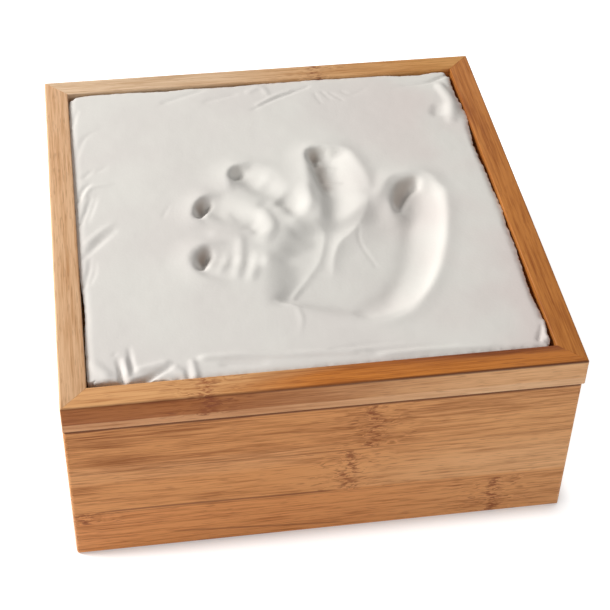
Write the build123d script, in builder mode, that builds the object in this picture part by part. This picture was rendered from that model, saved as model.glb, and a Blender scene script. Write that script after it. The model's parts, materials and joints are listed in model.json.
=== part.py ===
# A bamboo keepsake box. Its lift-off lid is a mitred frame around a clay panel
# that a baby's left hand was pressed into. Millimetres, +Z up, +Y to the back.
# The origin is the centre of the lid's footprint, on the surface the box stands on.
import os

from build123d import *

# Overall sizes of the closed box
box_width = 165.0
box_depth = 173.0
box_height = 69.5
lid_height = 10.0

# How the lid sits on the base
lid_overhang = 0.3
lid_side_rest = 0.3
lip_clearance = 0.8

# Base: four mitred walls and a bottom panel held in their grooves
wall_thickness = 8.0
wall_corner_round = 1.5
wall_foot_round = 1.2
wall_top_round = 0.5
bottom_thickness = 4.0
bottom_lift = 4.0
groove_depth = 4.0
groove_end_gap = 0.4
groove_height_gap = 0.2

# Lid: four mitred rails, a backing panel in their rebate and the locating lip
rail_width = 8.5
rail_corner_round = 0.8
rail_top_round = 0.7
rail_inner_round = 0.4
backing_thickness = 2.5
rebate_width = 4.0
rebate_gap = 0.3
lip_width = 5.0
lip_height = 4.0
lip_lead_in = 1.2
lip_corner_round = 1.5

# Clay panel
clay_set_down = 0.7
clay_side_gap = 0.5
clay_corner_round = 3.0
clay_edge_bevel = 1.2

# Handprint: a left hand, fingers to the back left, heel towards the front right
hand_length = 92.0
hand_x = 15.0
hand_y = -27.0
palm_depth = 4.7
pad_depth = 0.5
finger_depth = 5.0
lip_rise = 0.8
rim_half_width = 4.5
overrun = 2.0

# Derived sizes
base_height = box_height - lid_height
base_width = box_width - 2 * lid_overhang
base_depth = box_depth - 2 * lid_overhang
inside_width = base_width - 2 * wall_thickness
inside_depth = base_depth - 2 * wall_thickness
clay_width = box_width - 2 * (rail_width + clay_side_gap)
clay_depth = box_depth - 2 * (rail_width + clay_side_gap)
clay_floor = base_height + backing_thickness
clay_top = box_height - clay_set_down

# The base stands to the left of the lid's centre, which leaves its right edge overhung
base_plane = Plane((-lid_side_rest, 0, 0))
lid_plane = Plane((0, 0, base_height))
lip_plane = Plane((0, 0, base_height - lip_height))
clay_plane = Plane((0, 0, clay_top))

# Each side's outward direction
side_directions = {
    "front": (0, -1),
    "right": (1, 0),
    "back": (0, 1),
    "left": (-1, 0),
}

low_corner = (Align.MIN, Align.MIN)
low_middle = (Align.CENTER, Align.CENTER, Align.MIN)

os.makedirs("parts", exist_ok=True)


def save(piece, name):
    piece.part.label = name
    export_step(piece.part, f"parts/{name}.step")


# Cross-sections of the mitred pieces: x runs inwards from the outer face, y runs up
with BuildSketch() as wall_section:
    Rectangle(wall_thickness, base_height, align=low_corner)
    fillet(wall_section.vertices().group_by(Axis.Y)[-1], wall_top_round)
    fillet(wall_section.vertices().group_by(Axis.Y)[0].sort_by(Axis.X)[0], wall_foot_round)
    with Locations((wall_thickness - groove_depth, bottom_lift)):
        Rectangle(groove_depth, bottom_thickness + groove_height_gap,
                  align=low_corner, mode=Mode.SUBTRACT)

with BuildSketch() as rail_section:
    Rectangle(rail_width, lid_height, align=low_corner)
    fillet(rail_section.vertices().group_by(Axis.Y)[-1].sort_by(Axis.X)[0], rail_top_round)
    fillet(rail_section.vertices().group_by(Axis.Y)[-1].sort_by(Axis.X)[-1], rail_inner_round)
    with Locations((rail_width - rebate_width, 0)):
        Rectangle(rebate_width, backing_thickness, align=low_corner, mode=Mode.SUBTRACT)

with BuildSketch() as lip_section:
    Rectangle(lip_width, lip_height, align=low_corner)
    chamfer(lip_section.vertices().group_by(Axis.Y)[0].sort_by(Axis.X)[0], lip_lead_in)


def mitred_side(side, plane, width, depth, height, corner_round, section):
    # One side of a rectangular frame, cut at 45 degrees where it meets its neighbours
    out_x, out_y = side_directions[side]
    along = (-out_y, out_x, 0)
    foot = plane.origin + Vector(out_x * width / 2, out_y * depth / 2, 0)
    length = depth if out_x else width
    with BuildPart() as piece:
        with BuildSketch(Plane(foot, x_dir=(-out_x, -out_y, 0), z_dir=along)):
            add(section.sketch)
        extrude(amount=length / 2, both=True)
        with BuildSketch(Plane(foot, x_dir=along)):
            Polygon((-length / 2, 0), (length / 2, 0), (0, length / 2), align=None)
        extrude(amount=height, mode=Mode.INTERSECT)
        with BuildSketch(plane):
            RectangleRounded(width, depth, corner_round)
        extrude(amount=height, mode=Mode.INTERSECT)
    return piece


# Base walls, lid rails and the locating lip under the lid
for side in side_directions:
    save(mitred_side(side, base_plane, base_width, base_depth, base_height,
                     wall_corner_round, wall_section), f"base_wall_{side}")
    save(mitred_side(side, lid_plane, box_width, box_depth, lid_height,
                     rail_corner_round, rail_section), f"lid_rail_{side}")
    save(mitred_side(side, lip_plane, inside_width - 2 * lip_clearance,
                     inside_depth - 2 * lip_clearance, lip_height,
                     lip_corner_round, lip_section), f"lid_lip_{side}")

# Bottom panel, its edges in the walls' grooves
with BuildPart(base_plane) as base_bottom:
    panel_reach = 2 * (groove_depth - groove_end_gap)
    with Locations((0, 0, bottom_lift)):
        Box(inside_width + panel_reach, inside_depth + panel_reach, bottom_thickness,
            align=low_middle)
save(base_bottom, "base_bottom")

# Backing panel under the clay, glued into the rails' rebate
with BuildPart(lid_plane) as lid_backing:
    panel_setback = 2 * (rail_width - rebate_width + rebate_gap)
    Box(box_width - panel_setback, box_depth - panel_setback, backing_thickness,
        align=low_middle)
save(lid_backing, "lid_backing")

# Places of the handprint are shares of the hand's length from the middle of the palm.
# Each finger: where it meets the palm, where it ends, its radius, and how deep its root
# pressed beside its tip.
finger_shares = {
    "index": ((0.050, 0.180), (0.015, 0.715), 0.098, 0.65),
    "middle": ((-0.085, 0.210), (-0.355, 0.640), 0.092, 0.50),
    "ring": ((-0.200, 0.140), (-0.550, 0.390), 0.088, 0.50),
    "little": ((-0.250, -0.015), (-0.590, 0.080), 0.086, 0.50),
    "thumb": ((0.300, -0.150), (0.340, 0.540), 0.112, 0.94),
}

# A finger's bones as pairs of balls, each ball given by its middle's share of the finger's
# length and its share of the finger's radius. The clay stands up between them at the joint.
bone_shares = (
    ((0.16, 0.86), (0.44, 0.92)),
    ((0.66, 0.90), (0.80, 1.00)),
)

# Edge of the palm's hollow, from its back left corner round by the heel
palm_outline_shares = (
    (-0.304, 0.109), (-0.325, -0.054), (-0.310, -0.222), (-0.150, -0.300),
    (0.054, -0.340), (0.228, -0.290), (0.365, -0.135), (0.415, 0.050),
    (0.395, 0.280), (0.255, 0.215), (0.141, 0.290), (-0.011, 0.290), (-0.163, 0.207),
)

# How the palm's hollow narrows downwards: shares of its depth and of its outline,
# drawn in towards a place left of its middle, so that its left wall is the steep one
palm_anchor_share = (-0.120, 0.000)
palm_level_shares = ((-0.40, 1.04), (0.25, 0.99), (0.72, 0.93), (1.00, 0.83))

# Pads of the palm that pressed deeper: the thumb's ball, the heel and the finger roots.
# Each has its middle and its radius.
pad_shares = (((0.200, -0.050), 0.170), ((-0.110, -0.110), 0.150), ((0.020, 0.120), 0.130))

# Radius of the clay pushed up round a fingertip, as a share of the finger's radius
swell_share = 1.6

# Clay pushed up along the thumb and its ball: the ends and turns of the raised rim
rim_shares = ((0.060, -0.375), (0.330, -0.265), (0.450, 0.020), (0.445, 0.330), (0.365, 0.535))


def hand_place(share):
    return Vector(hand_x + share[0] * hand_length, hand_y + share[1] * hand_length, clay_top)


def palm_outline(outline_share):
    anchor_x, anchor_y = palm_anchor_share
    return [
        (hand_x + (anchor_x + (x - anchor_x) * outline_share) * hand_length,
         hand_y + (anchor_y + (y - anchor_y) * outline_share) * hand_length)
        for x, y in palm_outline_shares
    ]


def low_dome(middle, radius, rise, mode=Mode.ADD):
    # A shallow dome on the clay's face, or a dish in it where its rise is negative
    root = -overrun if rise > 0 else overrun
    with BuildSketch(Plane(middle, x_dir=(1, 0, 0), z_dir=(0, -1, 0))) as profile:
        with BuildLine():
            TangentArc((0, rise), (radius, 0), tangent=(1, 0))
            Polyline((radius, 0), (radius, root), (0, root), (0, rise))
        make_face()
    revolve(profile.sketch, axis=Axis(middle, (0, 0, 1)), mode=mode)


def raised_rim(places, half_width, rise):
    # A low rounded ridge along tangent arcs, with a dome at each end
    with BuildLine() as path:
        heel_arc = ThreePointArc(places[0], places[1], places[2])
        ball_arc = TangentArc(places[2], places[3], tangent=heel_arc % 1)
        TangentArc(places[3], places[4], tangent=ball_arc % 1)
    start = heel_arc % 0
    with BuildSketch(Plane(places[0], x_dir=(-start.Y, start.X, 0), z_dir=start)) as ridge:
        with BuildLine():
            ThreePointArc((-half_width, 0), (0, rise), (half_width, 0))
            Polyline((half_width, 0), (half_width, -overrun), (-half_width, -overrun),
                     (-half_width, 0))
        make_face()
    sweep(ridge.sketch, path=path.wire())
    low_dome(places[0], half_width, rise)
    low_dome(places[4], half_width, rise)


def finger_hollow(root_place, tip_place, radius, root_depth):
    # Each bone's shape turned about the finger's axis, which sinks towards the tip
    root = root_place + Vector(0, 0, radius - root_depth)
    tip = tip_place + Vector(0, 0, radius - finger_depth)
    length = (tip - root).length
    direction = (tip - root).normalized()
    for (low_share, low_size_share), (high_share, high_size_share) in bone_shares:
        low, low_radius = low_share * length, low_size_share * radius
        high, high_radius = high_share * length, high_size_share * radius
        with BuildSketch(Plane(root, x_dir=direction, z_dir=direction.cross(Vector(0, 0, 1)))) as half:
            with BuildLine():
                CenterArc((low, 0), low_radius, 90, 90)
                Line((low, low_radius), (high, high_radius))
                CenterArc((high, 0), high_radius, 0, 90)
                Line((high + high_radius, 0), (low - low_radius, 0))
            make_face()
        revolve(half.sketch, axis=Axis(root, direction), mode=Mode.SUBTRACT)


# Clay panel with the handprint
with BuildPart() as clay_panel:
    with BuildSketch(Plane.XY.offset(clay_floor)):
        RectangleRounded(clay_width, clay_depth, clay_corner_round)
    extrude(amount=clay_top - clay_floor)
    chamfer(clay_panel.edges().group_by(Axis.Z)[-1], clay_edge_bevel)

    # Clay pushed up beyond the fingertips and along the thumb's side of the hand
    for _, tip_share, radius_share, _ in finger_shares.values():
        low_dome(hand_place(tip_share), swell_share * radius_share * hand_length, lip_rise)
    raised_rim([hand_place(share) for share in rim_shares], rim_half_width, lip_rise)

    # The palm's hollow, narrowing down to a flat floor
    for depth_share, outline_share in palm_level_shares:
        with BuildSketch(clay_plane.offset(-depth_share * palm_depth)):
            with BuildLine():
                Spline(*palm_outline(outline_share), periodic=True)
            make_face()
    loft(ruled=True, mode=Mode.SUBTRACT)

    # Pads of the palm, whose dishes leave the creases standing between them
    for middle_share, radius_share in pad_shares:
        low_dome(hand_place(middle_share) - Vector(0, 0, palm_depth),
                 radius_share * hand_length, -pad_depth, Mode.SUBTRACT)

    for root_share, tip_share, radius_share, root_depth_share in finger_shares.values():
        finger_hollow(hand_place(root_share), hand_place(tip_share),
                      radius_share * hand_length, root_depth_share * finger_depth)
save(clay_panel, "clay_panel")
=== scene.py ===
# %% [markdown]
# # A bamboo keepsake box with a baby's handprint in its lid
#
# The real thing is a nearly square box of laminated bamboo. Its loose lid is a mitred
# frame, and a slab of white air-dried clay fills it, with the print of a left hand.
# The engineering model already holds every piece at its real size, so it is loaded first
# and everything made here is fitted to it.

# %% Load the engineering model
import json
import math

import bpy
import numpy as np
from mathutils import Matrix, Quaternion, Vector, noise

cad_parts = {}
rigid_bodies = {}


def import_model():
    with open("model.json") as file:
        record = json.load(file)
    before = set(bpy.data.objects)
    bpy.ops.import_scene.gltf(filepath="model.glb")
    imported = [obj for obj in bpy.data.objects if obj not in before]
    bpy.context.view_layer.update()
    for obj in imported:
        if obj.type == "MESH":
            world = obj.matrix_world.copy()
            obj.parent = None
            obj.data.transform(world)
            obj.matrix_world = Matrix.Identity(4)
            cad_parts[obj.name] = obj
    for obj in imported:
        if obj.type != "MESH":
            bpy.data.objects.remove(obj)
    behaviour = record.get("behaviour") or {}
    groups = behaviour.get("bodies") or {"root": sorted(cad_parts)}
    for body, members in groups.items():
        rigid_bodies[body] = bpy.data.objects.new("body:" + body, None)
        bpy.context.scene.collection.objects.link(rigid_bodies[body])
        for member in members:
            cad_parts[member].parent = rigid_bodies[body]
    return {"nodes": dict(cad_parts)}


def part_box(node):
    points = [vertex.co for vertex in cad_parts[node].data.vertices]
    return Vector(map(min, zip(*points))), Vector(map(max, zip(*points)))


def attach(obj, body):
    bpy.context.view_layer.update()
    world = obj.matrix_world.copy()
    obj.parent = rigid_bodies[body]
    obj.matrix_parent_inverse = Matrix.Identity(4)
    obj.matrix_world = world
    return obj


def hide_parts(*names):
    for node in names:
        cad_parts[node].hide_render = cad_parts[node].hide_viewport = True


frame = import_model()
for spare in [o for o in bpy.data.objects if o.name in ("Cube", "Light", "Camera")]:
    bpy.data.objects.remove(spare)
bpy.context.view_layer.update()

mm = 0.001
rail_low, rail_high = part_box("lid_rail_front")
wall_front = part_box("base_wall_front")[0].y
lid_left, lid_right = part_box("lid_rail_left")[0].x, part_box("lid_rail_right")[1].x
lid_front, lid_back = rail_low.y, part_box("lid_rail_back")[1].y
lid_top, lid_foot = rail_high.z, rail_low.z
rail_width = rail_high.y - rail_low.y
print("lid", round((lid_right - lid_left) / mm, 1), "x", round((lid_back - lid_front) / mm, 1),
      "mm, top at", round(lid_top / mm, 1), "mm")

# %% [markdown]
# ## The camera
#
# The picture was taken from above the front left of the box, through a fairly long lens,
# with the camera tipped a little to one side. A camera is made at that place and turned
# towards a point of the lid, then rolled about its own line of sight. Working out a corner
# of the lid by hand shows at once whether it stands where it does in the picture.

# %% Camera
picture_side = 610
camera_place = Vector((-64.2, -410.3, 406.7)) * mm
camera_aim = Vector((-2.35, -49.6, 69.5)) * mm
camera_roll = math.radians(1.73)
camera_lens = 90.66

bpy.ops.object.camera_add(location=camera_place)
camera = bpy.context.object
camera.name = "picture_camera"
camera.data.lens = camera_lens
camera.data.clip_start = 10 * mm
camera.data.clip_end = 20.0
sight = (camera_aim - camera_place).to_track_quat("-Z", "Y")
camera.rotation_euler = (sight @ Quaternion((0, 0, 1), camera_roll)).to_euler()
bpy.context.scene.camera = camera


def seen_at(point):
    # Pixel of the 610-pixel picture at which the camera sees a point
    bpy.context.view_layer.update()
    local = camera.matrix_world.inverted() @ Vector(point)
    reach = camera.data.lens / camera.data.sensor_width * picture_side / -local.z
    return (round(picture_side / 2 + local.x * reach, 1),
            round(picture_side / 2 - local.y * reach, 1))


for corner in ((lid_left, lid_back), (lid_right, lid_back), (lid_right, lid_front),
               (lid_left, lid_front)):
    print("lid corner seen at", seen_at((*corner, lid_top)))

# %% [markdown]
# ## Tools for finishes
#
# A finish is a small network of nodes, and so is the light of the room. A few helpers keep
# the networks short to write. One starts an empty finish, and one adds a node and fills or
# links its sockets. The others add a sum, a product, a distance, a value that eases from
# one level to another, or a mix of two colours. Colours are named as on a paint card.

# %% Node helpers
def new_look(name):
    # An empty finish, and the tree that its nodes go in
    look = bpy.data.materials.new(name)
    look.use_nodes = True
    look.node_tree.nodes.clear()
    return look, look.node_tree


def add_node(tree, kind, sockets=None, **settings):
    # A new node; a socket is given a value, or another node's output to be linked to
    node = tree.nodes.new(kind)
    for name, value in settings.items():
        setattr(node, name, value)
    for name, value in (sockets or {}).items():
        if isinstance(value, bpy.types.NodeSocket):
            tree.links.new(value, node.inputs[name])
        else:
            node.inputs[name].default_value = value
    return node


def calc(tree, operation, *values):
    return add_node(tree, "ShaderNodeMath", dict(enumerate(values)),
                    operation=operation).outputs[0]


def times(tree, first, second):
    return calc(tree, "MULTIPLY", first, second)


def apart(tree, first, second):
    # How far two values lie from each other
    return calc(tree, "ABSOLUTE", calc(tree, "SUBTRACT", first, second))


def vector_calc(tree, operation, *values):
    return add_node(tree, "ShaderNodeVectorMath", dict(enumerate(values)),
                    operation=operation).outputs[0]


def ramp(tree, value, low, high, start=0.0, end=1.0):
    # A value that eases from start to end as another goes from low to high
    return add_node(tree, "ShaderNodeMapRange", {
        "Value": value, "From Min": low, "From Max": high, "To Min": start, "To Max": end,
    }, interpolation_type="SMOOTHSTEP").outputs["Result"]


def blend(tree, share, first, second):
    # Two colours mixed by a share; of a Mix node's sockets, 0, 6 and 7 are for colours
    return add_node(tree, "ShaderNodeMix", {0: share, 6: first, 7: second},
                    data_type="RGBA").outputs[2]


def paint(red, green, blue):
    # A colour as on a paint card, 0 to 255, in the form that the shader wants
    def linear(level):
        level /= 255
        return level / 12.92 if level <= 0.04045 else ((level + 0.055) / 1.055) ** 2.4
    return (linear(red), linear(green), linear(blue), 1.0)


print("bamboo in the shade", [round(c, 3) for c in paint(190, 130, 88)[:3]])

# %% [markdown]
# ## The studio
#
# The box stands on plain white paper. Soft light falls from the back left, low enough to
# fill the left walls of the fingerprints with shade, and the white room gives the rest.
# The room and the paper look pure white to the camera, to gloss and to glass, while the light
# that they throw on the box stays natural, so its shadow is still there. Close to the box's foot
# a contact shadow is also painted into the paper's glow.

# %% The white room
white = (1, 1, 1, 1)
room_light = 0.26


def white_to_the_eye(tree):
    # 1 where the camera or a mirror looks, 0 for the light that falls on the box
    path = add_node(tree, "ShaderNodeLightPath").outputs
    shown = calc(tree, "MAXIMUM", path["Is Camera Ray"], path["Is Glossy Ray"])
    return calc(tree, "MAXIMUM", shown, path["Is Transmission Ray"])


world = bpy.data.worlds.new("white_room")
world.use_nodes = True
bpy.context.scene.world = world
room = world.node_tree
room.nodes.clear()
lit_room = add_node(room, "ShaderNodeBackground", {"Color": white, "Strength": room_light})
seen_room = add_node(room, "ShaderNodeBackground", {"Color": white})
room_mix = add_node(room, "ShaderNodeMixShader", {
    0: white_to_the_eye(room), 1: lit_room.outputs[0], 2: seen_room.outputs[0]})
add_node(room, "ShaderNodeOutputWorld", {"Surface": room_mix.outputs[0]})
print("room light", room_light)

# %% Paper
paper_side = 6.0
paper_colour = (0.8, 0.8, 0.8, 1)
paper_glow = 0.80
contact_reach = 6 * mm
contact_open, contact_dim = 0.5, 0.36

bpy.ops.object.select_all(action="DESELECT")
bpy.ops.mesh.primitive_plane_add(size=paper_side, location=(0, 0, 0))
paper = bpy.context.object
paper.name = "paper_floor"
paper_look, sheet = new_look("white_paper")
paper_white = add_node(sheet, "ShaderNodeBsdfDiffuse", {"Color": paper_colour})
# Beside the box's foot the paper's glow is dimmed by ambient occlusion, a painted contact shadow
gap_open = add_node(sheet, "ShaderNodeAmbientOcclusion", {"Distance": contact_reach})
painted_contact_shade = add_node(sheet, "ShaderNodeMapRange", {
    "Value": gap_open.outputs["AO"], "From Min": contact_open, "To Min": contact_dim})
glow = times(sheet, white_to_the_eye(sheet), painted_contact_shade.outputs[0])
paper_light = add_node(sheet, "ShaderNodeEmission", {
    "Strength": times(sheet, glow, paper_glow)})
paper_sum = add_node(sheet, "ShaderNodeAddShader", {
    0: paper_white.outputs[0], 1: paper_light.outputs[0]})
add_node(sheet, "ShaderNodeOutputMaterial", {"Surface": paper_sum.outputs[0]})
paper.data.materials.append(paper_look)
print("paper floor", paper_side, "m wide")

# %% Soft lamps
def soft_lamp(name, place, side, watts, tint=(1, 1, 1)):
    # A square lamp with a diffuser, turned towards the lid
    bpy.ops.object.light_add(type="AREA", location=place)
    lamp = bpy.context.object
    lamp.name = name
    lamp.data.size = side
    lamp.data.energy = watts
    lamp.data.color = tint
    aim = Vector((0, 0, lid_top)) - Vector(place)
    lamp.rotation_euler = aim.to_track_quat("-Z", "Y").to_euler()


soft_lamp("window_lamp", (-1.18, 0.34, 0.78), 0.70, 25.0, (1.0, 0.99, 0.97))
soft_lamp("front_lamp", (0.55, -1.4, 0.40), 1.1, 7.0)

# %% [markdown]
# ## Bamboo
#
# Laminated bamboo is glued up from strips about 20 mm wide. Along each strip run fine
# straight fibres, with short dark dashes where a bundle of vessels was cut, and at each
# old joint of the stem there is a knuckle: a dark band right across the strip, in which
# the fibres tangle. All of that is a pattern in the solid wood and not on its surface, so
# the finish reads Object coordinates in millimetres, turned so that the first of them
# runs along the grain.

# %% Fibres
def fibres(tree, place, along, across, detail=2.0):
    # Noise drawn out along the grain; the sizes are in millimetres
    drawn = vector_calc(tree, "MULTIPLY", place, (1 / along, 1 / across, 1 / across))
    return add_node(tree, "ShaderNodeTexNoise", {
        "Vector": drawn, "Scale": 1.0, "Detail": detail, "Roughness": 0.55,
    }).outputs["Fac"]


def wood_places(tree, turned):
    # Places in the solid piece in millimetres, the grain first
    solid = add_node(tree, "ShaderNodeTexCoord").outputs["Object"]
    return add_node(tree, "ShaderNodeMapping", {
        "Vector": solid, "Scale": (1 / mm, 1 / mm, 1 / mm),
        "Rotation": (0, 0, math.radians(90) if turned else 0),
    }).outputs[0]


print("object coordinates are multiplied by", round(1 / mm))

# %% [markdown]
# The strips of a wall lie one over the other, between wavering glue lines. Each strip was
# cut from another stretch of stem, so its pattern jumps to a place of its own, and it is
# a little paler or deeper than its neighbours.

# %% Strips
wander_size, glue_wander = (90, 40), 1.6
glue_core, glue_edge = 0.1, 0.45
strip_jump, strip_rise = 61.0, 9.0
piece_jump, piece_side = 113.0, 17.0


def strips(tree, grain, height, seams, tones, shift):
    # The wavering height, the glue lines' share, each strip's tone and its own wood
    wander = times(tree, fibres(tree, grain, *wander_size, 0.0), glue_wander)
    level = calc(tree, "ADD", height, wander)
    strip, glue, tone = 0.0, 0.0, tones[0]
    for seam, own_tone, last_tone in zip(seams, tones[1:], tones):
        over = calc(tree, "GREATER_THAN", level, seam)
        strip = calc(tree, "ADD", strip, over)
        tone = calc(tree, "MULTIPLY_ADD", over, own_tone - last_tone, tone)
        near = apart(tree, level, seam)
        glue = calc(tree, "ADD", glue, ramp(tree, near, glue_core, glue_edge, 1.0, 0.0))
    jump = add_node(tree, "ShaderNodeCombineXYZ", {
        "X": calc(tree, "MULTIPLY_ADD", strip, strip_jump, shift * piece_jump),
        "Y": shift * piece_side, "Z": times(tree, strip, strip_rise),
    }).outputs[0]
    return level, glue, tone, vector_calc(tree, "ADD", grain, jump)


print("glue lines", 2 * glue_edge, "mm wide")

# %% [markdown]
# A knuckle is drawn by how far a point lies from the knuckle's middle, along the grain. A
# zigzag noise is added to that distance, so the band frays. Close to the middle it is a
# dark core, and further out a flare in which the streaks are darker and the fibres bend.

# %% Knuckles
zigzag_size, zigzag_reach = (400, 2.6), 9.0
strip_edge = 0.4
# How far out core and flare start to fade, and where they end
core_fade, flare_fade = (0.4, 4.2), (1.0, 20.0)
sway_size, sway_reach = (7.0, 4.0), 3.0


def knuckle_marks(tree, wood, along, level, knuckles):
    # The shares of core and flare. A knuckle is its place along, and its low and high end
    zigzag = calc(tree, "MULTIPLY_ADD", fibres(tree, wood, *zigzag_size, 1.0), zigzag_reach,
                  -zigzag_reach / 2)
    core, flare = 0.0, 0.0
    for middle, low, high in knuckles:
        inside = times(tree, ramp(tree, level, low - strip_edge, low + strip_edge),
                       ramp(tree, level, high - strip_edge, high + strip_edge, 1.0, 0.0))
        off = apart(tree, calc(tree, "ADD", along, zigzag), middle)
        core, flare = (
            calc(tree, "MAXIMUM", mark, times(tree, inside, ramp(tree, off, *fade, 1.0, 0.0)))
            for mark, fade in ((core, core_fade), (flare, flare_fade)))
    return core, flare


def bent(tree, wood, flare):
    # Fibres bend a little where they pass a knuckle
    waver = calc(tree, "SUBTRACT", fibres(tree, wood, *sway_size, 1.0), 0.5)
    sway = times(tree, times(tree, flare, waver), sway_reach)
    bend = add_node(tree, "ShaderNodeCombineXYZ", {"Y": sway, "Z": sway}).outputs[0]
    return vector_calc(tree, "ADD", wood, bend)


print("a knuckle reaches", flare_fade[1], "mm each way")

# %% [markdown]
# Two kinds of dark line come on top: a long line of grain, and a dark line along a sharp edge,
# which under the lid's overhang is painted shade. Both are drawn by their distance from a line in
# the solid wood.

# %% Dark lines
line_core, line_reach, line_fade = 0.1, 0.7, 8
edge_line_core, edge_line_reach = 0.25, 0.95
edge_line_near, edge_line_far = -50, 50
line_brown, edge_line_brown = paint(110, 56, 28), paint(84, 40, 18)


def grain_line(tree, colour, along, level, start, low, end, high, share):
    # A dark line that rises from low to high between its start and its end along the grain
    slope = (high - low) / (end - start)
    on_line = calc(tree, "MULTIPLY_ADD", along, slope, low - slope * start)
    near = apart(tree, level, on_line)
    reach = times(tree, ramp(tree, along, start, start + line_fade),
                  ramp(tree, along, end - line_fade, end, 1.0, 0.0))
    dark = times(tree, reach, ramp(tree, near, line_core, line_reach, share, 0.0))
    return blend(tree, dark, colour, line_brown)


def dark_edge_line(tree, colour, places, across, height, near_share, far_share):
    # The edge that runs along the grain at this place across the piece and this height
    off_across = calc(tree, "SUBTRACT", places["Y"], across)
    off_height = calc(tree, "SUBTRACT", places["Z"], height)
    off = calc(tree, "SQRT", calc(tree, "MULTIPLY_ADD", off_across, off_across,
                                  times(tree, off_height, off_height)))
    # The dark line along the edge; under the lid's overhang it is painted shade
    edge_dark = times(tree, ramp(tree, off, edge_line_core, edge_line_reach, 1.0, 0.0),
                  ramp(tree, places["X"], edge_line_near, edge_line_far, near_share, far_share))
    return blend(tree, edge_dark, colour, edge_line_brown)


print("grime reaches", edge_line_reach, "mm from its edge")

# %% [markdown]
# The finish lays all of it together. Four patterns move the wood between its pale and its
# deep colour: broad clouds, the strip's tone, streaks and fine fibres. Where a piece is of
# two woods, or deepens towards one end, a coat takes over, and a rule says how much of it
# there is. The dark marks are blended in last. Fibres also give the bump, and the streaks
# vary the gloss, as open grain does.

# %% Bamboo finish
# Each pattern's length along the grain and its width, and its part in the mixing
broad_size, streak_size, fine_size = (60, 6.0), (26, 1.1), (13, 0.42)
broad_part, tone_part, streak_part, fine_part = 1.0, 0.6, 1.8, 1.9
mixing_start, mixing_pale, mixing_deep = 0.23, -0.25, 1.15
# Vessel dashes and knuckle smudges show between these levels of their noise
vessel_size, vessel_levels = (6.0, 0.45), (0.58, 0.72)
tangle_stretch, tangle_levels = (0.36, 1.0, 1.0), (0.44, 0.58)
vessel_share, vessel_tint, flare_share = 0.34, 0.6, 0.40
smudge_share, glue_share = 0.74, 0.30
vessel_brown, knuckle_brown = paint(106, 46, 16), paint(128, 60, 26)
glue_brown = paint(120, 66, 34)
fine_rise, vessel_dip = 0.6, -0.5
grain_strength, grain_depth = 0.16, 0.12 * mm
gloss_rough, gloss_matt = 0.46, 0.58
wood_specular = 0.24


def bamboo(name, turned, woods, seams=(), tones=(0.5,), knuckles=(), shift=0.0, coats=(),
           edges=(), lines=()):
    # All lengths in mm. woods: the pale and the deep colour. seams: heights of the glue
    # lines. tones: how deep each strip is. coats: a rule, and the woods that take over
    look, tree = new_look(name)
    grain = wood_places(tree, turned)
    places = add_node(tree, "ShaderNodeSeparateXYZ", {"Vector": grain}).outputs
    along = places["X"]
    level, glue, tone, wood = strips(tree, grain, places["Z"], seams, tones, shift)
    tangle = add_node(tree, "ShaderNodeTexNoise", {
        "Vector": vector_calc(tree, "MULTIPLY", wood, tangle_stretch), "Scale": 1.0,
        "Detail": 3.0, "Roughness": 0.65}).outputs["Fac"]
    core, flare = knuckle_marks(tree, wood, along, level, knuckles)
    wood = bent(tree, wood, flare)
    broad = fibres(tree, wood, *broad_size, 1.0)
    streak = fibres(tree, wood, *streak_size)
    fine = fibres(tree, wood, *fine_size)
    vessel = ramp(tree, fibres(tree, wood, *vessel_size, 1.0), *vessel_levels)

    pale, deep = woods
    for rule, (coat_pale, coat_deep) in coats:
        share = rule(tree, places)
        pale, deep = blend(tree, share, pale, coat_pale), blend(tree, share, deep, coat_deep)
    mixing = mixing_start
    for pattern, part in ((broad, broad_part), (tone, tone_part), (streak, streak_part),
                          (fine, fine_part)):
        mixing = calc(tree, "ADD", mixing, calc(
            tree, "MULTIPLY_ADD", pattern, part, -part / 2))
    colour = blend(tree, ramp(tree, mixing, mixing_pale, mixing_deep), pale, deep)
    dash = times(tree, vessel, calc(tree, "MULTIPLY_ADD", flare, flare_share, vessel_share))
    colour = blend(tree, dash, colour, blend(tree, vessel_tint, deep, vessel_brown))
    smudge = times(tree, core, ramp(tree, tangle, *tangle_levels))
    colour = blend(tree, times(tree, smudge, smudge_share), colour, knuckle_brown)
    colour = blend(tree, times(tree, glue, glue_share), colour, glue_brown)
    for line in lines:
        colour = grain_line(tree, colour, along, level, *line)
    for edge in edges:
        colour = dark_edge_line(tree, colour, places, *edge)

    relief = calc(tree, "ADD", times(tree, fine, fine_rise), times(tree, vessel, vessel_dip))
    bump = add_node(tree, "ShaderNodeBump", {
        "Height": relief, "Strength": grain_strength, "Distance": grain_depth}).outputs[0]
    surface = add_node(tree, "ShaderNodeBsdfPrincipled", {
        "Base Color": colour, "Normal": bump, "Specular IOR Level": wood_specular,
        "Roughness": ramp(tree, streak, 0.3, 0.7, gloss_rough, gloss_matt)})
    add_node(tree, "ShaderNodeOutputMaterial", {"Surface": surface.outputs[0]})
    print(name, len(tree.nodes), "nodes")
    return look


print("fibres", fine_size[1], "mm wide, streaks", streak_size[1], "mm wide")

# %% [markdown]
# Raw bamboo is straw-coloured, and the longer it is steamed the browner it gets, so one box holds
# many woods. Each is named here as a pale and a deep colour.

# %% Woods, pale and deep
tan = paint(240, 195, 152), paint(204, 150, 102)
straw = paint(222, 192, 160), paint(188, 150, 112)
bright_honey = paint(226, 166, 100), paint(186, 122, 60)
honey = paint(214, 160, 106), paint(172, 114, 66)
amber = paint(184, 117, 54), paint(140, 76, 26)
orange = paint(204, 124, 48), paint(156, 84, 22)
russet = paint(146, 74, 20), paint(106, 48, 8)
board = paint(228, 158, 98), paint(158, 93, 46)
pale_board = paint(234, 170, 112), paint(172, 110, 62)
print("palest wood", [round(c, 3) for c in tan[0][:3]])

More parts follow.
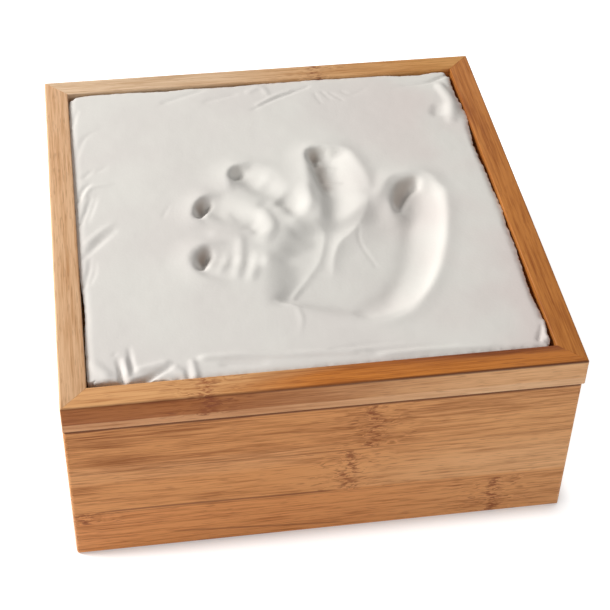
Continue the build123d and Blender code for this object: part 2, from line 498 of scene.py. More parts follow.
# %% [markdown]
# ## The bamboo pieces
#
# Walls, rails and panels already have their true shape in the engineering model. A real
# piece has no knife-sharp edge, though: sanding eases it, and that is what makes a mitre
# show as a fine line. So each piece is copied, its loose triangles are merged and joined
# into whole faces, and a narrow bevel eases what is still sharp.

# %% Eased copies
weld_reach = 0.005 * mm
flat_angle, sharp_angle, smooth_angle = (math.radians(angle) for angle in (1, 35, 32))
wall_ease, rail_ease, panel_ease = 0.12 * mm, 0.14 * mm, 0.2 * mm


def eased_copy(node, ease, look, body):
    # The named piece with its sharp edges eased, standing for the engineering model's own
    bpy.ops.object.select_all(action="DESELECT")
    source = frame["nodes"][node]
    piece = source.copy()
    piece.data = source.data.copy()
    piece.parent = None
    piece.name = node + "_bamboo"
    for key in list(piece.keys()):
        del piece[key]
    bpy.context.collection.objects.link(piece)
    bpy.context.view_layer.objects.active = piece
    piece.select_set(True)
    bpy.ops.mesh.customdata_custom_splitnormals_clear()
    bpy.ops.object.mode_set(mode="EDIT")
    bpy.ops.mesh.select_all(action="SELECT")
    bpy.ops.mesh.remove_doubles(threshold=weld_reach)
    bpy.ops.mesh.dissolve_limited(angle_limit=flat_angle)
    bpy.ops.object.mode_set(mode="OBJECT")
    rounding = piece.modifiers.new("eased_edges", "BEVEL")
    rounding.width = ease
    rounding.segments = 2
    rounding.limit_method = "ANGLE"
    rounding.angle_limit = sharp_angle
    bpy.ops.object.modifier_apply(modifier=rounding.name)
    bpy.ops.object.shade_smooth_by_angle(angle=smooth_angle)
    piece.data.materials.clear()
    piece.data.materials.append(look)
    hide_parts(node)
    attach(piece, body)
    print(piece.name, len(piece.data.polygons), "faces")


eases = (wall_ease, rail_ease, panel_ease)
print("edges are eased by", [round(ease / mm, 2) for ease in eases], "mm")

# %% [markdown]
# ### Rules for a second wood
#
# Where a second wood takes over is said by ramps over the piece's own places: X along the
# grain, Y across it and Z up, in millimetres. Multiplied, they fence off a strip or a face.

# %% Rules
def where(*ramps):
    # A rule that multiplies ramps, each an axis, two places and the levels at them
    def rule(tree, places):
        share = 1.0
        for axis, *levels in ramps:
            share = times(tree, share, ramp(tree, places[axis], *levels))
        return share
    return rule


# Every wall gets paler towards one end
paler_end = (where(("X", -20, 80)), pale_board)
print("pale board", [round(c, 3) for c in pale_board[0][:3]])

# %% [markdown]
# ### The base
#
# Each wall is glued up from three strips, so it has two glue lines, and each strip has its own
# knuckles. On the front wall they stand where the picture shows them. There the middle strip is
# paler low down and to the right, and the lowest one is redder. Just under the lid's overhang
# each wall has a dark line of painted shade.

# %% Strips of the walls
wall_seams = (19.5, 39.5)
low_strip, middle_strip, top_strip = (0.0, 19.1), (20.0, 39.1), (39.9, 59.5)
wall_tones = {"front": (0.24, 0.3, 0.62), "right": (0.6, 0.3, 0.5), "back": (0.4, 0.6, 0.35),
              "left": (0.5, 0.45, 0.65)}
wall_knuckles = {
    "front": ((15.0, *top_strip), (7.2, *middle_strip), (57.6, *low_strip), (-78.6, 15.0, 20.5)),
    "right": ((-30.0, *top_strip), (44.0, *middle_strip), (-62.0, *low_strip)),
    "back": ((-41.0, *top_strip), (62.0, *middle_strip), (-8.0, *low_strip)),
    "left": ((55.0, *top_strip), (-22.0, *middle_strip), (12.0, *low_strip)),
}
# Start and height, end and height, and how dark
front_lines = ((-76, 20.6, 6, 20.4, 0.7), (-54, 7.6, 10, 3.4, 0.5))
print(sum(len(knuckles) for knuckles in wall_knuckles.values()), "knuckles in the walls")

# %% Walls and bottom
wall_faces = {"front": wall_front, "right": lid_right, "back": lid_back, "left": lid_left}
# A dark line of painted shade just under the lid's overhang: its height and how dark it is
overhang_shade_height, overhang_shade_share = lid_foot / mm - 0.45, 0.85
patch_wood = paint(240, 176, 120), paint(184, 122, 74)
light_wood = paint(244, 186, 132), paint(186, 126, 78)
red_wood = paint(228, 153, 92), paint(158, 87, 40)
front_coats = [
    (where(("Z", 32, 36), ("Z", 40.5, 43, 1.0, 0.0), ("X", -20, 10, 0.6, 0.0)), patch_wood),
    (where(("Z", 19.6, 20.0), ("Z", 26, 42, 1.0, 0.0), ("X", -20, 80)), light_wood),
    (where(("Z", 19.2, 19.6, 1.0, 0.0), ("X", -20, 60, 0.8, 0.2)), red_wood),
]
for number, (side, knuckles) in enumerate(wall_knuckles.items()):
    in_front = side == "front"
    wall_look = bamboo(
        f"bamboo_wall_{side}", side in ("left", "right"), board, wall_seams, wall_tones[side],
        knuckles, number + 1.0, [paler_end] + (front_coats if in_front else []),
        [(wall_faces[side] / mm, overhang_shade_height, overhang_shade_share, overhang_shade_share)],
        front_lines if in_front else ())
    eased_copy(f"base_wall_{side}", wall_ease, wall_look, "base")
panel_look = bamboo("bamboo_panel", False, board, shift=9.0)
eased_copy("base_bottom", panel_ease, panel_look, "base")

# %% [markdown]
# ### The lid's frame
#
# The left and back rails are pale and the right one is deeper. The front rail turns from
# honey to a strong orange along its length, its outer face is a strip of its own, and that
# strip stands on a thin pale one.

# %% The front rail's woods
rail_front = rail_low.y / mm
foot_top = 62.4
rail_knuckle = (62.0, 72.0)
face_left = paint(178, 108, 54), paint(132, 66, 22)
face_right = paint(242, 188, 136), paint(204, 144, 94)
foot_left = paint(220, 160, 112), paint(184, 122, 76)
foot_right = paint(240, 192, 146), paint(212, 156, 110)
outer_face = ("Y", rail_front + 0.1, rail_front + 0.3, 1.0, 0.0)
foot = ("Z", foot_top - 0.2, foot_top + 0.2, 1.0, 0.0)
rightwards = ("X", -50, 70)
border_slope, border_start, border_width = 0.14, rail_front + 8.0, 3.0


def orange_part(tree, places):
    # The deeper wood starts beyond the knuckle, along a slanting line
    border = calc(tree, "MULTIPLY_ADD", places["X"], border_slope, border_start)
    slant = ramp(tree, calc(tree, "SUBTRACT", border, places["Y"]), -border_width, border_width)
    return times(tree, slant, ramp(tree, places["X"], -46, 0))


dark_inside = where(("Y", rail_front + 4.5, rail_front + 8.0), ("X", -30, 50))
rail_coats = [(orange_part, orange), (dark_inside, russet), (where(outer_face), face_left),
              (where(outer_face, rightwards), face_right), (where(outer_face, foot), foot_left),
              (where(outer_face, foot, rightwards), foot_right)]
print("front rail with", len(rail_coats), "coats")

# %% Rails, backing and lip
rail_looks = {
    "front": bamboo("bamboo_rail_front", False, honey, knuckles=((-38.0, *rail_knuckle),),
                    shift=21.0, coats=rail_coats,
                    # A dark line along the rail's top front edge
                    edges=[(rail_front, lid_top / mm, 0.5, 0.9)]),
    "right": bamboo("bamboo_rail_right", True, amber, shift=22.0),
    "back": bamboo("bamboo_rail_back", False, straw, knuckles=((21.0, *rail_knuckle),),
                   shift=23.0, coats=[(where(("X", -50, 75)), bright_honey)]),
    "left": bamboo("bamboo_rail_left", True, tan, shift=24.0),
}
for side, rail_look in rail_looks.items():
    eased_copy(f"lid_rail_{side}", rail_ease, rail_look, "lid")
    eased_copy(f"lid_lip_{side}", panel_ease, panel_look, "lid")
eased_copy("lid_backing", panel_ease, panel_look, "lid")

# %% [markdown]
# ## The clay
#
# The slab was rolled out, laid in the frame, patted flat with the fingers, and a baby's
# left hand was pressed into it. A hand works clay in strokes, and so does this script. The
# slab starts as a fine grid. Each fingerprint, crease and crack is one stroke: a path of a
# few points, each with the widths of its left and right flank and its height. Every vertex
# near the path moves by the stroke's rounded profile, as under a sculpting brush.

# %% The slab's grid
clay_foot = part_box("clay_panel")[0].z
grid_step = 0.5 * mm
gap_least = 0.05 * mm
level_drop = 0.6 * mm
inner_left, inner_right = lid_left + rail_width, lid_right - rail_width
inner_front, inner_back = lid_front + rail_width, lid_back - rail_width
columns = round((inner_right - inner_left) / grid_step)
rows = round((inner_back - inner_front) / grid_step)
clay_level = lid_top - level_drop

bpy.ops.object.select_all(action="DESELECT")
bpy.ops.mesh.primitive_grid_add(x_subdivisions=columns, y_subdivisions=rows, size=1)
clay = bpy.context.object
clay.name = "clay_slab"
clay.scale = (inner_right - inner_left - 2 * gap_least,
              inner_back - inner_front - 2 * gap_least, 1)
clay.location = ((inner_left + inner_right) / 2, (inner_front + inner_back) / 2, clay_level)
bpy.ops.object.transform_apply(location=True, rotation=True, scale=True)
face_count = len(clay.data.vertices)
print("clay grid", columns, "by", rows, "with", face_count, "points")

# %% The slab's sides and bottom
side_levels = (0.25, 0.6, 1.0)
bpy.ops.object.mode_set(mode="EDIT")
bpy.ops.mesh.select_all(action="SELECT")
bpy.ops.mesh.region_to_loop()
drop_before = 0.0
for drop_share in side_levels:
    bpy.ops.mesh.extrude_region_move(TRANSFORM_OT_translate={
        "value": (0, 0, (drop_before - drop_share) * (clay_level - clay_foot))})
    drop_before = drop_share
bpy.ops.mesh.edge_face_add()
bpy.ops.mesh.select_all(action="SELECT")
bpy.ops.mesh.normals_make_consistent(inside=False)
bpy.ops.object.mode_set(mode="OBJECT")
print("clay slab", len(clay.data.polygons), "faces")

# %% [markdown]
# ### Strokes
#
# A few profiles are enough. A soft fingertip leaves a bowl, steep at its rim and round at
# its bottom. A slow push leaves a wave, which starts and ends without an edge. The thumb's
# root leaves a trench, a wave on its left and a bowl on its right. Clay that is squeezed
# up stands in a fold, sharp at its crest, running out thin.

# %% Profiles
# Each says how much of a stroke's height is left at a share of the way out to its edge, 1.
# Aside is above 0 on the left of the way the stroke runs
def wave(share, aside=0):
    return 0.5 + 0.5 * np.cos(np.pi * share)


def bowl(share, aside=0):
    return 1 - share ** 2


def fold(share, aside=0):
    return (1 - share) ** 2


def trench(share, aside):
    return np.where(aside > 0, wave(share), bowl(share))


print("half-way out", [round(float(profile(0.5)), 2) for profile in (wave, bowl, fold)])

# %% [markdown]
# A path has only a few points, but a finger doesn't turn corners, so the path is drawn
# smoothly through them first. Then each vertex looks for the nearest place on the path.
# Its distance from there, divided by the flank's width, is how far out in the profile it
# lies. At the two ends of the path the profile is squeezed or drawn out.

# %% Paths and strokes
far_off = 1e9


def smooth_path(points, closed, pieces=6):
    # The same path drawn smoothly through its points
    points = np.array(points, float)
    if closed:
        before, after, beyond = (np.roll(points, turn, 0) for turn in (1, -1, -2))
        starts = points
    else:
        before = np.vstack([points[:1], points[:-2]])
        starts, after = points[:-1], points[1:]
        beyond = np.vstack([points[2:], points[-1:]])
    made = [0.5 * (2 * starts + (after - before) * t
                   + (2 * before - 5 * starts + 4 * after - beyond) * t ** 2
                   + (3 * starts - before - 3 * after + beyond) * t ** 3)
            for t in np.arange(pieces) / pieces]
    path = np.stack(made, 1).reshape(-1, points.shape[1])
    return path if closed else np.vstack([path, points[-1:]])


def stroke(x, y, profile, start_reach, end_reach, points):
    # The height that a stroke gives each place. Its points hold place, the widths of the
    # flanks to the left and right of the way it runs, and height
    path = smooth_path(points, False) if len(points) > 2 else np.array(points, float)
    reach = max(path[:, 2:4].max(), start_reach, end_reach)
    near = ((x > path[:, 0].min() - reach) & (x < path[:, 0].max() + reach)
            & (y > path[:, 1].min() - reach) & (y < path[:, 1].max() + reach))
    part_x, part_y = x[near], y[near]
    nearest = np.full(part_x.shape, far_off)
    share = np.ones(part_x.shape)
    depth, turn = np.zeros(part_x.shape), np.zeros(part_x.shape)
    last = len(path) - 2
    for number, (a, b) in enumerate(zip(path[:-1], path[1:])):
        length = math.hypot(*(b - a)[:2])
        step_x, step_y = (b - a)[:2] / length
        forward = (part_x - a[0]) * step_x + (part_y - a[1]) * step_y
        aside = (part_y - a[1]) * step_x - (part_x - a[0]) * step_y
        part = np.clip(forward / length, 0, 1)
        over = forward - part * length
        left, right, deep = (a[i] + part * (b[i] - a[i]) for i in (2, 3, 4))
        flank = np.where(aside > 0, left, right)
        distance = np.hypot(over, aside)
        own = distance / flank
        if number == 0:
            own = np.where(over < 0, np.hypot(over / start_reach, aside / flank), own)
        if number == last:
            own = np.where(over > 0, np.hypot(over / end_reach, aside / flank), own)
        closer = distance < nearest
        nearest = np.where(closer, distance, nearest)
        share = np.where(closer, np.minimum(own, 1), share)
        depth = np.where(closer, deep, depth)
        turn = np.where(closer, aside, turn)
    made = np.zeros(x.shape)
    made[near] = profile(share, turn) * depth
    return made


trial = stroke(np.array([0.0, 1.0, 2.0]), np.zeros(3), wave, 2, 2,
               [(0, -5, 2, 2, 1.0), (0, 5, 2, 2, 1.0)])
print("heights from the middle of a stroke outwards", trial.round(2))

# %% [markdown]
# The palm is no stroke but a basin, so it is given by its outline, and its wall eases down
# inside that. Where presses overlap only the deepest counts, softly, or the clay would sink
# twice. What comes out is smoothed over the grid, as a damp finger smooths clay.

# %% Basins, joined presses and smoothing
def hollow(x, y, points, depth):
    # A basin: an outline whose points give the width of the wall inside them
    outline = smooth_path(points, True)
    nearest, wall = np.full(x.shape, far_off), np.ones(x.shape)
    inside = np.zeros(x.shape, bool)
    for a, b in zip(outline, np.roll(outline, -1, 0)):
        edge_x, edge_y = b[0] - a[0], b[1] - a[1]
        part = np.clip(((x - a[0]) * edge_x + (y - a[1]) * edge_y)
                       / (edge_x ** 2 + edge_y ** 2), 0, 1)
        distance = np.hypot(x - a[0] - part * edge_x, y - a[1] - part * edge_y)
        closer = distance < nearest
        nearest = np.where(closer, distance, nearest)
        wall = np.where(closer, a[2] + part * (b[2] - a[2]), wall)
        if a[1] != b[1]:
            crossing = a[0] + (y - a[1]) / (b[1] - a[1]) * edge_x
            inside ^= ((a[1] > y) != (b[1] > y)) & (x < crossing)
    return depth * wave(1 - np.clip(np.where(inside, nearest, 0) / wall, 0, 1))


def deepest(presses, sharpness=4.0):
    # The deepest of several presses, softly joined
    return np.sum([np.maximum(one, 0) ** sharpness for one in presses], 0) ** (1 / sharpness)


def patted(height, passes):
    # Each point of the grid eased towards its neighbours, pass after pass
    grid = height.reshape(rows + 1, columns + 1)
    for _ in range(passes):
        for axis in (0, 1):
            pad = [(1, 1) if a == axis else (0, 0) for a in (0, 1)]
            wide = np.pad(grid, pad, mode="edge")
            low, mid, high = (np.take(wide, range(i, i + grid.shape[axis]), axis)
                              for i in range(3))
            grid = 0.25 * low + 0.5 * mid + 0.25 * high
    return grid.ravel()


print("two presses of depth 1 join", round(float(deepest([np.ones(1)] * 2)[0]), 2), "deep")

# %% [markdown]
# ### The hand
#
# All places are millimetres from the lid's middle, as a sculptor would mark them out with
# a ruler. The palm is a basin, and beside the thumb's root it sinks into a trench. Each
# finger left a soft scoop, and a deep pocket where its tip pressed. The picture looks into
# the hollows at a slant, so a hollow's bottom lies further back than it seems there, by a
# little more than its own depth. A stroke is written as how far it reaches beyond its
# start and its end, then its points: place, left and right flank, depth.

# %% Palm, thumb and fingers
# The palm is deeper towards the right, by its lean. Its outline gives places and the width
# of the basin's wall there
palm_depth, palm_lean = 2.9, 0.04
palm_outline = [
    (-13.2, -19.8, 11), (-13.6, -26, 13), (-14, -34, 13), (-14.5, -43, 11), (-12.2, -48.5, 6),
    (-6, -49.4, 6), (2, -53.5, 8), (11, -57, 9), (23, -59.2, 10), (33, -55.3, 11), (39, -45, 12),
    (44.2, -33, 13), (49, -20, 13), (51.8, -8, 12), (47, 1, 12), (38, 1, 12), (34, 3, 13),
    (29, 3.5, 13), (22, 0, 9), (14, -2, 8), (8, -4.5, 7), (2, -6, 6), (-3.4, -5.5, 7),
    (-5.4, -11, 9), (-6.4, -15.5, 9), (-9.4, -18.2, 9),
]
# The fingers from index to little, two roots, the rims of two tips and the thumb's tip
scoops = [
    (9, 3.4, [(13.6, -11, 6, 9, 1.5), (15.6, 0, 6, 11.5, 2.4), (17, 10, 6.8, 11.4, 2.9),
        (17.2, 20, 6.8, 11.2, 3.2), (17, 29.5, 6.6, 10.4, 3.3)]),
    (5, 3, [(-3.5, 9, 7, 7, 1.1), (-7, 13.5, 8, 9, 1.7), (-11, 18.5, 8, 10, 2.1),
        (-14.5, 22.4, 5, 9, 2.2)]),
    (5, 2.6, [(-14, -3, 9, 6, 1.2), (-19, 1, 9.5, 8, 1.8), (-24.5, 4, 8, 9, 2.1),
        (-28, 5.5, 5.5, 8, 1.9)]),
    (4, 2.6, [(-15, -24, 8, 6, 1.6), (-20, -22.8, 8, 6, 1.9), (-26, -21.4, 7.5, 6, 2),
        (-31, -20.6, 6, 5.5, 1.7)]),
    (5, 2.6, [(2, -1, 5, 6, 1.2), (0.8, 3.4, 5.4, 9, 2.3), (-2, 5.8, 5, 9, 2.2)]),
    (2.5, 2.5, [(-13, -10, 2.4, 7, 0.7), (-14.8, -6, 2.4, 7, 1.1)]),
    (4, 2.4, [(-33.2, -24.6, 3.4, 4, 0.7), (-32.3, -21.4, 3.8, 4.4, 0.8),
        (-31, -19.4, 3.4, 3.8, 0.7)]),
    (4, 2.2, [(-31.2, 2.2, 2.6, 3.6, 0.8), (-30.2, 5.2, 2.9, 4, 1), (-28.6, 7.4, 2.6, 3.6, 0.9)]),
    (6, 3, [(38.4, -3, 4.6, 8, 2.2), (40, 3, 5, 9, 3), (42.8, 8, 5, 8.5, 3.3),
        (46.4, 10.4, 3.6, 6.5, 3)]),
]
thumb_root = (8, 7, [(18, -50, 8, 8, 2.8), (27, -44.8, 10, 10, 3.9),
    (34.4, -34.6, 10.6, 10.4, 4.5), (39, -22, 10.6, 10.8, 4.7), (41.6, -11, 10, 11, 4.6),
    (43.6, -2, 9, 11, 4.2), (45.2, 5, 8, 10.6, 4)])
# The index finger's steep side, then the tips from index to little, and the thumb's
pockets = [
    (3, 2.4, [(15, 9.5, 2.4, 3, 2.6), (14.5, 12, 2.4, 3, 3), (14, 17, 2.4, 3.4, 3.1),
        (13.6, 22, 2.4, 3.4, 3.2)]),
    (3, 1.8, [(12.8, 27, 2, 3, 3.6), (12.6, 30.6, 1.8, 2.8, 3.9), (14.2, 31.6, 1.8, 2.8, 3.8),
        (16.8, 31.4, 1.8, 2.8, 3.8)]),
    (3, 1.8, [(-17, 22, 1.8, 2.8, 2.4), (-16, 23.6, 2, 3.2, 3.6), (-14.4, 24.4, 1.8, 3, 3.4)]),
    (3.5, 1.6, [(-31.6, 2.4, 1.1, 1.6, 4.2), (-30.3, 5.6, 1.25, 1.9, 5.8),
        (-28.4, 8, 1.1, 1.7, 5.4)]),
    (3.5, 1.6, [(-33.4, -24.6, 1.3, 1.9, 3.7), (-32.3, -21, 1.4, 2.1, 5),
        (-30.8, -18.6, 1.2, 1.8, 4.5)]),
    (4.5, 2, [(38.4, -0.5, 1.6, 2.6, 3.8), (40, 4.2, 1.9, 3.2, 4.8), (42.8, 8.8, 2, 3.4, 5.1),
        (46.4, 11, 1.5, 3, 4.4)]),
]
print(len(scoops) + len(pockets), "finger strokes")

# %% [markdown]
# ### Knobs, folds and creases
#
# Between the hollows the clay was squeezed up: knobs at the finger joints and across the
# little finger, and the long folds that the creases of the palm left standing. Round the
# outside of the hand it stands up in low swells. A negative height is a small dent.

# %% Raised marks
knobs = [
    (4, 4, [(1.5, -4.8, 5, 2, 0.4), (6.2, -0.5, 6, 2, 0.6), (7.6, 5.5, 6, 1.8, 0.6),
        (7.4, 11.5, 5, 2, 0.4)]),
    (4, 4, [(-10, -14.5, 5, 2.4, 0.6), (-7, -7.5, 6, 2, 0.9), (-8.6, -0.5, 5, 2.4, 0.6)]),
    (4, 4, [(-20, -12, 4, 4, 0.5), (-27, -10, 4, 4, 0.5)]),
    (3, 3, [(-5.5, 3, 4, 4, -0.5), (-8.5, 4.5, 4, 4, -0.6)]),
    (2.4, 2.4, [(-14.6, -6.5, 2.4, 2.4, -0.35), (-16.4, -7.6, 2.4, 2.4, -0.35)]),
    (2.4, 2.4, [(-20.6, -2.5, 3, 2.4, 0.3), (-22, 2, 3, 2.4, 0.3)]),
    (2.4, 2.4, [(-8.6, 15.5, 3, 3, 0.35), (-5.2, 19.5, 3, 3, 0.35)]),
    (5, 5, [(0, -9, 6, 6, 0.6), (1.5, -16, 6, 6, 0.7)]),
    (2.5, 3, [(-22, -32, 2.6, 1.4, 0.6), (-20, -24, 3, 1.6, 0.9), (-18.8, -15, 2.6, 1.6, 0.6)]),
    (3, 3, [(-17.4, -33.5, 2.6, 1.6, 0.6), (-15.6, -28, 3, 1.8, 0.9),
        (-14.4, -22, 2.6, 1.8, 0.6)]),
    (2, 2, [(-27.2, -29.3, 1.8, 1, 0.5), (-25.2, -24, 2, 1.1, 0.7), (-24, -20, 1.8, 1, 0.4)]),
]
folds = [
    (1.5, 1.5, [(19.5, 24, 1.2, 2.6, 0.3), (16.5, 25, 1.2, 2.6, 0.7),
        (13.4, 24.8, 1.2, 2.6, 0.6)]),
    (1.5, 1.5, [(20, 14.8, 1.2, 2.6, 0.3), (16.8, 15.8, 1.2, 2.6, 0.7),
        (13.8, 15.6, 1.2, 2.6, 0.6)]),
    (2, 3, [(7.5, -6, 3, 3, 0.1), (10.2, -10, 3.5, 4, 0.3), (9.4, -16, 3.5, 4.5, 0.45),
        (6.2, -25.5, 3, 4, 0.4), (1, -33.8, 2.5, 3, 0.35), (-5, -42.5, 2, 2.2, 0.4)]),
    (4, 4, [(28, 4, 14, 9, 0.5), (26.6, -1.5, 14, 10, 0.9), (23.4, -7, 13, 8, 1.1),
        (19.5, -11.5, 12, 6.5, 1.1), (15, -16, 8, 5, 0.9), (12, -22.5, 6, 4, 0.6),
        (10, -31.5, 4, 3, 0.2)]),
    (2, 3, [(23, -8, 1.4, 1.4, -0.15), (22, -16, 1.2, 1.4, -0.2), (25, -28, 1.4, 1.4, -0.15)]),
    (2, 2, [(-10.5, -45.8, 1.8, 1.8, 0.3), (-6.5, -47.6, 1.4, 1.6, 0.5),
        (-4.2, -48.8, 1, 1.2, 0.3)]),
    (2, 4, [(-4.6, -50, 1.4, 2.2, 0.2), (-4, -55, 1.4, 2.6, 0.25), (-5, -60, 1.4, 2.4, 0.1)]),
]
swells = [
    (4, 4, [(-28, -34, 8, 2, 0.3), (-34, -31, 9, 2.4, 0.8), (-37.2, -24.5, 9, 4, 1),
        (-36.4, -19, 9, 4, 1), (-32, -15.4, 8, 2.6, 1), (-26, -15, 5, 2.5, 0.4)]),
    (4, 4, [(-32, -3, 8, 2, 0.5), (-33.4, 1, 9, 2.4, 1), (-32.4, 5.5, 9, 2.2, 1.1),
        (-29.4, 10, 9, 1.8, 1.1), (-25, 11, 7, 2.5, 0.5)]),
    (4, 5, [(-19.4, 15, 10, 2.4, 0.8), (-19, 20.5, 11, 1.8, 1.3), (-16.8, 25.4, 11, 1.6, 1.3),
        (-13, 27, 9, 2, 1), (-4, 26, 7, 3, 0.2)]),
    (4, 4, [(8.4, 4, 7, 2.4, 0.5), (8.6, 12, 8, 2.6, 0.9), (9.2, 24, 9, 2.4, 1),
        (9.8, 30.5, 9, 2, 1.1), (12.4, 34, 8, 1.6, 1.1), (18, 34, 8, 2, 1), (24.5, 32, 7, 3, 0.8),
        (28.6, 21, 6, 3, 0.7), (29.8, 10, 5, 3, 0.6)]),
    (4, 6, [(31.6, 3, 5, 3, 0.4), (34.4, 8.5, 7, 2.8, 0.8), (38.4, 13.6, 8, 2, 1),
        (45, 15.2, 8, 2, 1), (51, 14.4, 7, 2, 0.7), (53.8, 8, 7, 2, 0.6), (54, -4, 7, 2, 0.6),
        (51.2, -18, 7, 2, 0.6), (45.4, -33, 7, 2, 0.6), (39.4, -46, 7, 2, 0.6),
        (31, -56.4, 6, 2, 0.5), (20, -60.6, 5, 2, 0.4), (8, -58.5, 4, 2, 0.1)]),
]
print(len(knobs) + len(folds), "raised strokes and", len(swells), "swells")

# %% [markdown]
# ### Marks of patting and pinching
#
# Away from the hand the slab is smooth, with cracks where it began to dry, folds where it
# was pinched in from the left, and a lumpy roll along the front.

